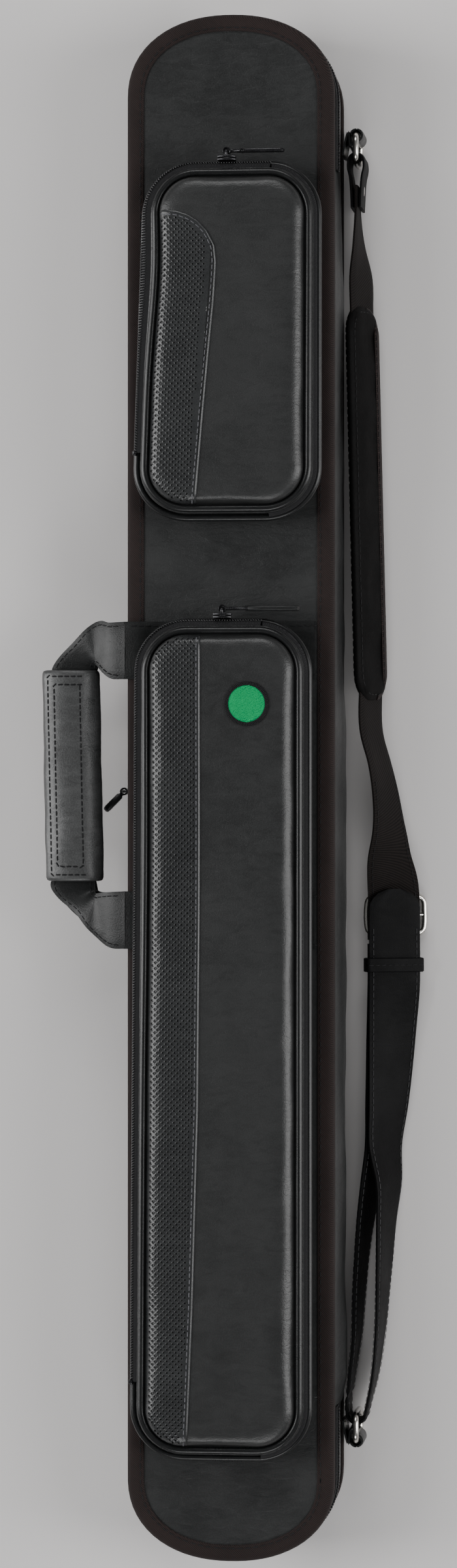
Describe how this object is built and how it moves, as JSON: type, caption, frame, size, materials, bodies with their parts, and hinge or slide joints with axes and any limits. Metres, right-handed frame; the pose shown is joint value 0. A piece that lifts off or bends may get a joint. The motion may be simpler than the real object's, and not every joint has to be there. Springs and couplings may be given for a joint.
{
  "type": "cue case",
  "caption": "Long soft case for billiard cues with rounded ends: zipped clamshell body, padded cue channels, front pockets, carrying handle and shoulder strap with a pad.",
  "frame": {"origin": "centre of the flat underside of the back panel, on the plane that the case lies on", "axes": "+Y along the case to its top end, +X to the spine and shoulder strap, +Z out of the front through the pockets"},
  "size_m": [0.2117, 0.86, 0.1026],
  "materials": {
    "leather": "satin fine-grained black vinyl leather",
    "strap_leather": "satin black vinyl leather, stitched",
    "perforated_leather": "glossy black perforated vinyl leather",
    "twill": "matt brown-black twill tape",
    "piping": "glossy black vinyl piping",
    "lining": "matt black brushed lining over foam",
    "zip": "black nylon coil",
    "black_metal": "black enamelled zinc",
    "nickel": "polished nickel plate",
    "green_thread": "green embroidery thread"
  },
  "bodies": {
    "rear_case": {"back_panel": "leather", "rear_gusset": "leather", "rear_binding": "twill", "main_zip_rear": "zip", "spine_strip_rear": "leather", "butt_cradle": "lining", "rear_end_pad_top": "lining", "rear_end_pad_bottom": "lining", "butt_hold_down_1": "lining", "butt_hold_down_2": "lining", "upper_ring_tab": "strap_leather", "lower_ring_tab": "strap_leather", "strap_end_loop": "strap_leather", "strap_rivet": "nickel", "shoulder_strap_upper": "strap_leather", "shoulder_strap_lower": "strap_leather", "buckle_frame": "nickel", "strap_keeper": "strap_leather"},
    "front_lid": {"front_panel": "leather", "lid_gusset": "leather", "front_binding": "twill", "main_zip_front": "zip", "spine_strip_front": "leather", "shaft_cradle": "lining", "lid_end_pad_top": "lining", "lid_end_pad_bottom": "lining", "shaft_hold_down_1": "lining", "shaft_hold_down_2": "lining", "handle_anchor_upper": "strap_leather", "handle_anchor_lower": "strap_leather", "upper_pocket_gusset": "leather", "upper_pocket_base_piping": "piping", "upper_pocket_zip_base": "zip", "lower_pocket_gusset": "leather", "lower_pocket_base_piping": "piping", "lower_pocket_zip_base": "zip"},
    "upper_flap": {"upper_pocket_lid": "leather", "upper_pocket_lid_piping": "piping", "upper_pocket_zip_lid": "zip", "upper_pocket_inlay": "perforated_leather"},
    "lower_flap": {"lower_pocket_lid": "leather", "lower_pocket_lid_piping": "piping", "lower_pocket_zip_lid": "zip", "lower_pocket_inlay": "perforated_leather", "badge": "green_thread"},
    "main_slider": {"main_zip_slider": "black_metal"},
    "main_pull": {"main_zip_pull": "strap_leather"},
    "upper_slider": {"upper_pocket_slider": "black_metal"},
    "upper_pull": {"upper_pocket_pull": "black_metal"},
    "lower_slider": {"lower_pocket_slider": "black_metal"},
    "lower_pull": {"lower_pocket_pull_link": "black_metal", "lower_pocket_pull": "strap_leather"},
    "carry_handle": {"handle_loop_upper": "strap_leather", "handle_loop_lower": "strap_leather", "handle_grip": "strap_leather"},
    "rear_handle": {"rear_handle_strap": "strap_leather"},
    "ring_upper": {"upper_ring": "nickel"},
    "ring_lower": {"lower_ring": "nickel"},
    "pad": {"shoulder_pad": "strap_leather"},
    "prong": {"buckle_prong": "nickel"}
  },
  "joints": [
    {"name": "lid_open", "type": "hinge", "parent": "rear_case", "child": "front_lid", "pos_m": [0.0579, 0, 0.0421], "axis": [0, 1, 0], "range_deg": [0, 90]},
    {"name": "upper_pocket_open", "type": "hinge", "parent": "front_lid", "child": "upper_flap", "pos_m": [0.0476, 0.2465, 0.0924], "axis": [0, 1, 0], "range_deg": [0, 90]},
    {"name": "lower_pocket_open", "type": "hinge", "parent": "front_lid", "child": "lower_flap", "pos_m": [0.0423, -0.139, 0.0924], "axis": [0, 1, 0], "range_deg": [0, 90]},
    {"name": "main_zip_travel", "type": "slide", "parent": "rear_case", "child": "main_slider", "axis": [0, 1, 0], "range_m": [-0.3, 0.3]},
    {"name": "main_pull_swing", "type": "hinge", "parent": "main_slider", "child": "main_pull", "pos_m": [-0.0633, -0.002, 0.0421], "axis": [0, 0, 1], "range_deg": [-130, 42]},
    {"name": "upper_zip_travel", "type": "slide", "parent": "front_lid", "child": "upper_slider", "axis": [1, 0, 0], "range_m": [-0.018, 0.02]},
    {"name": "upper_pull_swing", "type": "hinge", "parent": "upper_slider", "child": "upper_pull", "pos_m": [0, 0.3512, 0.0916], "axis": [0, 0, 1], "range_deg": [0, 170]},
    {"name": "lower_zip_travel", "type": "slide", "parent": "front_lid", "child": "lower_slider", "axis": [1, 0, 0], "range_m": [-0.018, 0.018]},
    {"name": "lower_pull_swing", "type": "hinge", "parent": "lower_slider", "child": "lower_pull", "pos_m": [-0.0024, 0.099, 0.0916], "axis": [0, 0, 1], "range_deg": [0, 170]},
    {"name": "handle_lift", "type": "hinge", "parent": "front_lid", "child": "carry_handle", "pos_m": [-0.059, 0, 0.0743], "axis": [0, 1, 0], "range_deg": [0, 75]},
    {"name": "rear_handle_drop", "type": "hinge", "parent": "rear_case", "child": "rear_handle", "pos_m": [-0.0586, 0, 0.02], "axis": [0, 1, 0], "range_deg": [-45, 0]},
    {"name": "upper_ring_swing", "type": "hinge", "parent": "rear_case", "child": "ring_upper", "pos_m": [0.067, 0.367, 0.0198], "axis": [0, 0, 1], "range_deg": [-5, 5]},
    {"name": "lower_ring_swing", "type": "hinge", "parent": "rear_case", "child": "ring_lower", "pos_m": [0.067, -0.367, 0.0198], "axis": [0, 0, 1], "range_deg": [-5, 5]},
    {"name": "pad_slide", "type": "slide", "parent": "rear_case", "child": "pad", "axis": [-0.0241, 0.9997, 0], "range_m": [-0.015, 0.015]},
    {"name": "prong_drop", "type": "hinge", "parent": "rear_case", "child": "prong", "pos_m": [0.08762, -0.072, 0.00916], "axis": [-0.9272, 0, 0.3746], "range_deg": [0, 30]}
  ]
}
